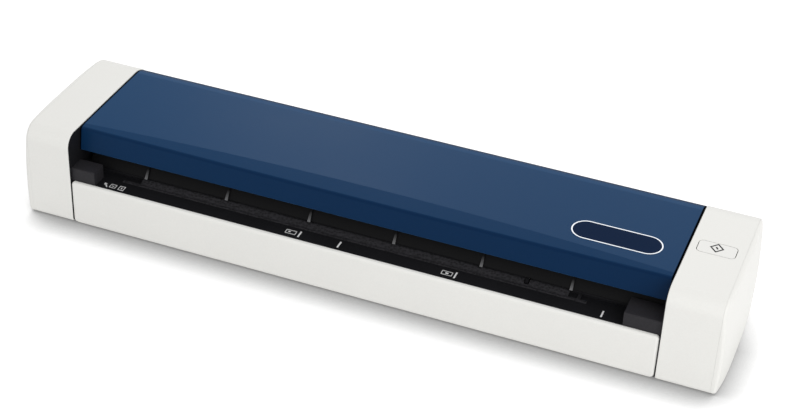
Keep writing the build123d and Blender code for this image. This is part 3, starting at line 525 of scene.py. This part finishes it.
metalLooks = {
    "steel": {
        "colour": (0.60, 0.60, 0.61),
        "tone": 0.1,
        "lines": 1400,
        "stretch": (1.0, 0.03, 0.03),
        "rough": 0.26,
        "spread": 0.2,
        "depth": 0.004,
        "shader": metallic,
    },
    "rolledSteel": {
        "colour": (0.56, 0.57, 0.58),
        "tone": 0.12,
        "lines": 1200,
        "stretch": (0.03, 1.0, 1.0),
        "rough": 0.34,
        "spread": 0.25,
        "depth": 0.004,
        "shader": metallic,
    },
    "springSteel": {
        "colour": (0.50, 0.50, 0.51),
        "tone": 0.15,
        "lines": 2400,
        "stretch": (1.0, 1.0, 0.1),
        "rough": 0.3,
        "spread": 0.2,
        "depth": 0.003,
        "shader": metallic,
    },
    "brass": {
        "colour": (0.62, 0.45, 0.19),
        "tone": 0.1,
        "lines": 1600,
        "stretch": (1.0, 0.05, 0.05),
        "rough": 0.3,
        "spread": 0.2,
        "depth": 0.004,
        "shader": metallic,
    },
    "silverRim": {
        "colour": (0.58, 0.60, 0.63),
        "tone": 0.06,
        "lines": 2600,
        "stretch": (0.05, 1.0, 1.0),
        "rough": 0.3,
        "spread": 0.12,
        "depth": 0.002,
        "shader": metallic,
    },
}
finishes = {name: skinned(name, mouldedGrain, look) for name, look in mouldedLooks.items()}
finishes.update({name: skinned(name, turnedLines, look) for name, look in metalLooks.items()})


def layOver(shader, share, colour):
    # a second colour over the finish's own, all of it where the share is 1
    tree = shader.id_data
    own = shader.inputs["Base Color"].links[0].from_socket
    tree.links.new(blended(tree, share, own, opaque(colour)), shader.inputs["Base Color"])


lidEdgeShade = {
    "end": (0.45, 0.225),
    "rear": (10.0, 6.9),
    "rearShare": 0.95,
    # the near-black of the painted shadow on the lid's ends
    "colour": (0.0012, 0.0013, 0.0016),
}


def paintLidEdgeShade():
    # the lid's ends are painted black as the shadow in the gap beside the side frames, and its
    # rear edge has its sheen and specular turned down
    tree = finishes["bluePlastic"].node_tree
    shader = tree.nodes["Principled BSDF"]
    lowest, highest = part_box("top_cover")
    x, y = splitPlace(tree, objectPlace(tree))[:2]
    left = mapped(tree, x, *[lowest[0] + inset * mm for inset in lidEdgeShade["end"]])
    right = mapped(tree, x, *[highest[0] - inset * mm for inset in lidEdgeShade["end"]])
    ends = mathNode(tree, "MAXIMUM", left, right)
    rear = mapped(tree, y, *[highest[1] - inset * mm for inset in lidEdgeShade["rear"]])
    dulled = mathNode(tree, "MULTIPLY", rear, lidEdgeShade["rearShare"])
    dulled = mathNode(tree, "MAXIMUM", ends, dulled)
    # painted shadow over the lid's ends
    layOver(shader, ends, lidEdgeShade["colour"])
    for label in ("Sheen Weight", "Specular IOR Level"):
        full = sheen[label]
        gloss = mathNode(tree, "MULTIPLY_ADD", dulled, -full, full)
        tree.links.new(gloss, shader.inputs[label])


strip = {
    "colour": (0.026, 0.025, 0.029),
    "pit": (0.007, 0.007, 0.008),
    "cell": 1000.0,
    "lands": (0.1, 0.7),
    "rough": 0.62,
    "cloud": 240.0,
    "cloudDetail": 4.0,
    "cloudShare": 0.2,
    "depth": 0.06,
    "gloss": 0.3,
}


def stripPlastic():
    # a coarse spark-eroded texture, its pits darker than its lands
    made, tree, shader = newMaterial("stripPlastic")
    place = objectPlace(tree)
    inputs = {"Vector": place, "Scale": strip["cell"]}
    cells = addNode(tree, "ShaderNodeTexVoronoi", inputs, feature="F1").outputs["Distance"]
    lands = mapped(tree, cells, *strip["lands"])
    colour = blended(tree, lands, opaque(strip["pit"]), opaque(strip["colour"]))
    cloud = centred(tree, noiseNode(tree, place, strip["cloud"], strip["cloudDetail"]))
    rough = mathNode(tree, "MULTIPLY_ADD", cloud, strip["cloudShare"], strip["rough"])
    tree.links.new(colour, shader.inputs["Base Color"])
    tree.links.new(rough, shader.inputs["Roughness"])
    addBump(tree, shader, lands, strip["depth"])
    shader.inputs["Specular IOR Level"].default_value = strip["gloss"]
    return made


# the foot and knee of the mouth's sloping wall are a depth and a height
mouth = {
    # darker than the black plastic elsewhere: painted shade under the lid
    "colour": (0.0035, 0.0035, 0.0040),
    "tone": 0.4,
    "depth": 0.02,
    "shader": {"Specular IOR Level": 0.1},
    # the colour of a painted glint on the rib fronts, then where it shows: how far they stand
    # proud and how high it fades
    "ribGlint": (0.16, 0.16, 0.165),
    "foot": (12.4, 21.9),
    "knee": (15.7, 26.4),
    "proud": (0.55, 0.9),
    "fade": 3.4,
}


def mouthPlastic():
    # black plastic darker than the other black plastic, as painted shade for the mouth under the
    # lid, with a painted glint on the rib fronts that is full at their feet and fades out upward
    # where the lid shades them
    made = skinned("mouthPlastic", mouldedGrain, mouth)
    tree = made.node_tree
    parts = splitPlace(tree, objectPlace(tree))
    (footDepth, footHeight), (kneeDepth, kneeHeight) = mouth["foot"], mouth["knee"]
    slope = (kneeDepth - footDepth) / (kneeHeight - footHeight)
    wallAtGround = depthAt(footDepth - footHeight * slope)
    wall = mathNode(tree, "MULTIPLY_ADD", parts[2], slope, wallAtGround)
    ahead = mathNode(tree, "SUBTRACT", wall, parts[1])
    ribGlint = mapped(tree, ahead, *[proud * mm for proud in mouth["proud"]])
    fade = mapped(tree, parts[2], (footHeight + mouth["fade"]) * mm, footHeight * mm)
    share = mathNode(tree, "MULTIPLY", ribGlint, fade)
    # painted glint over the rib fronts
    layOver(tree.nodes["Principled BSDF"], share, mouth["ribGlint"])
    return made


glass = {
    "tint": (0.90, 0.94, 0.93),
    "tone": 0.04,
    "rough": 0.02,
    "smear": 0.05,
    "smearScale": 260.0,
    "smearDetail": 3.0,
    "stretch": (1.0, 0.1, 1.0),
    "bend": 1.5,
}


def headGlass():
    # clear glass with a faint smear where sheets have slid over it
    made, tree, shader = newMaterial("headGlass")
    along = vectorNode(tree, "MULTIPLY", objectPlace(tree), glass["stretch"])
    smear = noiseNode(tree, along, glass["smearScale"], glass["smearDetail"])
    rough = mathNode(tree, "MULTIPLY_ADD", smear, glass["smear"], glass["rough"])
    tint = toned(tree, opaque(glass["tint"]), centred(tree, smear), glass["tone"])
    tree.links.new(rough, shader.inputs["Roughness"])
    tree.links.new(tint, shader.inputs["Base Color"])
    shader.inputs["Transmission Weight"].default_value = 1.0
    shader.inputs["IOR"].default_value = glass["bend"]
    return made


tyres = {
    "feed_roller_tyres": {"ribs": 60.0, "colour": (0.030, 0.030, 0.032)},
    "exit_roller_tyres": {"ribs": 60.0, "colour": (0.028, 0.028, 0.030)},
}
tyreWear = {"scuff": (0.055, 0.055, 0.056), "depth": 0.12, "gloss": 0.3}


def tyreRubber(node):
    made, tree, shader = newMaterial("tyreRubber" + node.split("_")[0].capitalize())
    lowest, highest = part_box(node)
    values = {
        "Middle": [(least + most) / 2 for least, most in zip(lowest, highest)],
        "Ribs": tyres[node]["ribs"],
        "Colour": opaque(tyres[node]["colour"]),
        "Scuff": opaque(tyreWear["scuff"]),
    }
    addSkin(tree, shader, rolledRibs, values, tyreWear["depth"])
    shader.inputs["Specular IOR Level"].default_value = tyreWear["gloss"]
    return made


board = {
    "mask": (0.012, 0.085, 0.035),
    "track": (0.030, 0.150, 0.060),
    "pad": (0.62, 0.50, 0.26),
    "tracks": {
        "Scale": 900.0,
        "Mortar Size": 0.12,
        "Mortar Smooth": 0.1,
        "Brick Width": 3.2,
        "Row Height": 0.7,
    },
    "padScale": 420.0,
    "padSize": 0.16,
    "rough": 0.4,
    "padPolish": 0.1,
    "depth": 0.03,
}


def circuitBoard():
    # solder mask with raised tracks in steps along X and Y, and scattered gilt pads
    made, tree, shader = newMaterial("circuitBoard")
    place = objectPlace(tree)
    tracks = addNode(tree, "ShaderNodeTexBrick", {"Vector": place, **board["tracks"]})
    inputs = {"Vector": place, "Scale": board["padScale"]}
    pads = addNode(tree, "ShaderNodeTexVoronoi", inputs, feature="F1").outputs["Distance"]
    gilt = mathNode(tree, "LESS_THAN", pads, board["padSize"])
    mask = blended(tree, tracks.outputs["Fac"], opaque(board["mask"]), opaque(board["track"]))
    rough = mathNode(tree, "MULTIPLY_ADD", gilt, -board["padPolish"], board["rough"])
    tree.links.new(blended(tree, gilt, mask, opaque(board["pad"])), shader.inputs["Base Color"])
    tree.links.new(gilt, shader.inputs["Metallic"])
    tree.links.new(rough, shader.inputs["Roughness"])
    addBump(tree, shader, tracks.outputs["Fac"], board["depth"])
    return made


cable = {
    "sheath": (0.74, 0.74, 0.72),
    "wire": (0.55, 0.55, 0.54),
    "pitch": 0.5,
    "rough": 0.4,
    "dull": 0.1,
    "depth": 0.05,
}


def flatCable():
    # a flat ribbon along X, whose wires show as fine lines through the sheath
    made, tree, shader = newMaterial("flatCable")
    y = splitPlace(tree, objectPlace(tree))[1]
    turns = 2 * math.pi / (cable["pitch"] * mm)
    wave = mathNode(tree, "SINE", mathNode(tree, "MULTIPLY", y, turns))
    height = mathNode(tree, "MULTIPLY_ADD", wave, 0.5, 0.5)
    colour = blended(tree, height, opaque(cable["wire"]), opaque(cable["sheath"]))
    rough = mathNode(tree, "MULTIPLY_ADD", height, cable["dull"], cable["rough"])
    tree.links.new(colour, shader.inputs["Base Color"])
    tree.links.new(rough, shader.inputs["Roughness"])
    addBump(tree, shader, height, cable["depth"])
    return made


paintLidEdgeShade()
finishes["stripPlastic"] = stripPlastic()
finishes["mouthPlastic"] = mouthPlastic()
finishes["headGlass"] = headGlass()
finishes["circuitBoard"] = circuitBoard()
finishes["flatCable"] = flatCable()
for tyreNode in tyres:
    finishes[tyreNode] = tyreRubber(tyreNode)
print("materials made:", len(finishes))


worn = {
    "whitePlastic": (
        "left_end_housing",
        "right_end_housing",
        "left_side_cover",
        "right_side_cover",
        "front_panel",
        "rear_cover",
    ),
    "buttonPlastic": ("scan_button",),
    "bluePlastic": ("top_cover",),
    "blackPlastic": (
        "bottom_cover",
        "feed_tray",
        "lower_frame",
        "left_side_frame",
        "right_side_frame",
        "sensor_lever",
    ),
    "mouthPlastic": ("upper_frame",),
    "guidePlastic": ("left_edge_guide", "right_edge_guide"),
    "stripPlastic": ("feed_ramp",),
    "headBlack": ("lower_scan_head", "upper_scan_head"),
    "headGlass": ("lower_scan_glass", "upper_scan_glass"),
    "naturalPlastic": (
        "feed_roller_gear",
        "exit_roller_gear",
        "idler_gear",
        "front_pinch_rollers",
        "rear_pinch_rollers",
    ),
    "backingWhite": ("lower_backing", "upper_backing"),
    "footRubber": ("rubber_feet",),
    "chipBlack": ("board_chips", "button_switch"),
    "circuitBoard": ("main_board", "button_board", "sensor_board"),
    "flatCable": ("head_cable",),
    "steel": (
        "sensor_axle",
        "hinge_pins",
        "feed_roller_shaft",
        "exit_roller_shaft",
        "idler_axle",
        "motor_shaft",
        "front_pinch_shaft",
        "rear_pinch_shaft",
        "motor",
    ),
    "rolledSteel": ("motor_bracket", "usb_socket", "case_screws", "frame_screws", "lid_screws"),
    "springSteel": ("pinch_springs",),
    "brass": ("shaft_bushes", "motor_pinion"),
    "silverRim": ("nameplate_rim",),
    "feed_roller_tyres": ("feed_roller_tyres",),
    "exit_roller_tyres": ("exit_roller_tyres",),
}


def dressNodes():
    for finish, names in worn.items():
        for name in names:
            slots = nodes[name].data.materials
            slots.clear()
            slots.append(finishes[finish])


dressNodes()
bare = set(nodes) - {name for names in worn.values() for name in names}
print("nodes dressed, left bare:", sorted(bare))


def clearSelection():
    bpy.ops.object.select_all(action="DESELECT")


def lift(height):
    # gives the flat faces their thickness in millimetres, as one closed print
    bpy.ops.mesh.select_all(action="SELECT")
    bpy.ops.mesh.extrude_region_move(TRANSFORM_OT_translate={"value": (0, 0, height * mm)})
    bpy.ops.mesh.select_all(action="SELECT")
    bpy.ops.mesh.normals_make_consistent(inside=False)


def startFlat(name, place, size, turn=0.0, corners=0):
    # a flat plate, or a disc with the number of corners given, ready in edit mode:
    # its place is in metres and its size in millimetres
    clearSelection()
    if corners:
        bpy.ops.mesh.primitive_circle_add(
            vertices=corners, radius=0.5, fill_type="NGON", location=place
        )
    else:
        bpy.ops.mesh.primitive_plane_add(size=1, location=place)
    piece = bpy.context.object
    piece.name = name
    piece.scale = (size[0] * mm, size[1] * mm, 1)
    piece.rotation_euler = (0, 0, math.radians(turn))
    bpy.ops.object.transform_apply(location=True, rotation=True, scale=True)
    bpy.ops.object.mode_set(mode="EDIT")
    bpy.ops.mesh.select_all(action="SELECT")
    return piece


def roundCorners(radius, steps):
    bpy.ops.mesh.bevel(offset=radius * mm, segments=steps, affect="VERTICES")


def openRing(rim):
    bpy.ops.mesh.inset(thickness=rim * mm)
    bpy.ops.mesh.delete(type="FACE")
    bpy.ops.mesh.select_all(action="SELECT")


def finishPiece(piece, finish, body):
    bpy.ops.object.mode_set(mode="OBJECT")
    piece.data.materials.clear()
    piece.data.materials.append(finishes[finish])
    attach(piece, body)


def joinPieces(name, pieces):
    clearSelection()
    for piece in pieces:
        piece.select_set(True)
    bpy.context.view_layer.objects.active = pieces[0]
    bpy.ops.object.join()
    joined = bpy.context.object
    joined.name = name
    joined.data.name = name
    return joined


sign = {
    "place": (130.25, 0.0),
    "size": (5.5, 5.9),
    "line": 0.6,
    "bar": (0.66, 1.6),
    "lean": 33,
    "corner": 0.08,
    "cornerSteps": 2,
    "proud": 0.01,
}


def addStartSign():
    # the plain start sign of office machines, a bar in a diamond, printed on the button
    x, y = [side * mm for side in sign["place"]]
    place = (x, y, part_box("scan_button")[1][2])
    diamond = startFlat("startSign", place, sign["size"], corners=4)
    openRing(sign["line"])
    lift(sign["proud"])
    finishPiece(diamond, "signGrey", "scan_button")
    bar = startFlat("startBar", place, sign["bar"], sign["lean"])
    roundCorners(sign["corner"], sign["cornerSteps"])
    lift(sign["proud"])
    finishPiece(bar, "signGrey", "scan_button")


# a mark's place is along X and behind the front of the case
marks = {
    "proud": 0.03,
    "ticks": (-24.95, -8.35, 39.25, 96.75),
    "tickDepth": (3.5, 7.4),
    "tickWidth": 0.68,
    "corner": 0.12,
    "cardCorner": 0.24,
    "cornerSteps": 3,
    "cards": {
        "photoCard": {"place": (-28.65, 5.5), "size": (4.4, 2.5)},
        "postCard": {"place": (35.85, 5.4), "size": (4.4, 2.5)},
        "pageSign": {"place": (-106.05, 4.8), "size": (2.7, 2.5)},
        "slipSign": {"place": (-102.25, 4.8), "size": (2.5, 2.9)},
    },
    "bars": {
        "pageLine": {"place": (-106.05, 4.8), "size": (1.0, 0.4)},
        "slipLine": {"place": (-102.25, 4.8), "size": (0.4, 1.3)},
        "photoDot": {"place": (-29.3, 5.6), "size": (0.9, 0.8)},
        "postDot": {"place": (35.85, 5.4), "size": (1.2, 0.9)},
        "arrowTail": {"place": (-108.75, 4.1), "size": (0.5, 1.8), "turn": 40},
    },
    "line": 0.28,
    "arrow": {"place": (-109.65, 5.2), "size": 1.9, "turn": 40},
}


def printFlat(name, mark, corners=0, corner=0.0, rim=0.0):
    # one flat mark on the tray, a plate or a disc, with a hole where a rim is given
    x, depth = mark["place"]
    place = (x * mm, depthAt(depth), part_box("feed_tray")[1][2])
    made = startFlat(name, place, mark["size"], mark.get("turn", 0), corners)
    if corner:
        roundCorners(corner, marks["cornerSteps"])
    if rim:
        openRing(rim)
    lift(marks["proud"])
    bpy.ops.object.mode_set(mode="OBJECT")
    return made


def addTrayMarks():
    # width ticks, card outlines and an arrow, printed in white on the tray
    front, rear = marks["tickDepth"]
    pieces = []
    for number, x in enumerate(marks["ticks"]):
        tick = {"place": (x, (front + rear) / 2), "size": (marks["tickWidth"], rear - front)}
        pieces.append(printFlat("tick%d" % number, tick, corner=marks["corner"]))
    for name, card in marks["cards"].items():
        pieces.append(printFlat(name, card, corner=marks["cardCorner"], rim=marks["line"]))
    for name, bar in marks["bars"].items():
        pieces.append(printFlat(name, bar))
    arrow = dict(marks["arrow"], size=[marks["arrow"]["size"]] * 2)
    pieces.append(printFlat("arrow", arrow, corners=3))
    finishPiece(joinPieces("trayMarks", pieces), "markWhite", "base")


# the end share stays just under a half, so that the two round ends don't meet
plate = {"thick": 0.05, "gap": 0.1, "rim": 0.5, "endShare": 0.4999, "endSteps": 20}


def addNameplateFace():
    # the dark label inside the nameplate's rim, left plain
    lowest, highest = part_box("nameplate_rim")
    inset = 2 * (plate["rim"] + plate["gap"])
    length = (highest[0] - lowest[0]) / mm - inset
    width = (highest[1] - lowest[1]) / mm - inset
    middle = [(least + most) / 2 for least, most in zip(lowest, highest)]
    place = (middle[0], middle[1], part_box("top_cover")[1][2])
    face = startFlat("nameplateFace", place, (length, width))
    roundCorners(width * plate["endShare"], plate["endSteps"])
    lift(plate["thick"])
    finishPiece(face, "plateBlue", "cover")


addStartSign()
addTrayMarks()
addNameplateFace()
print("button sign, tray marks and nameplate face added")
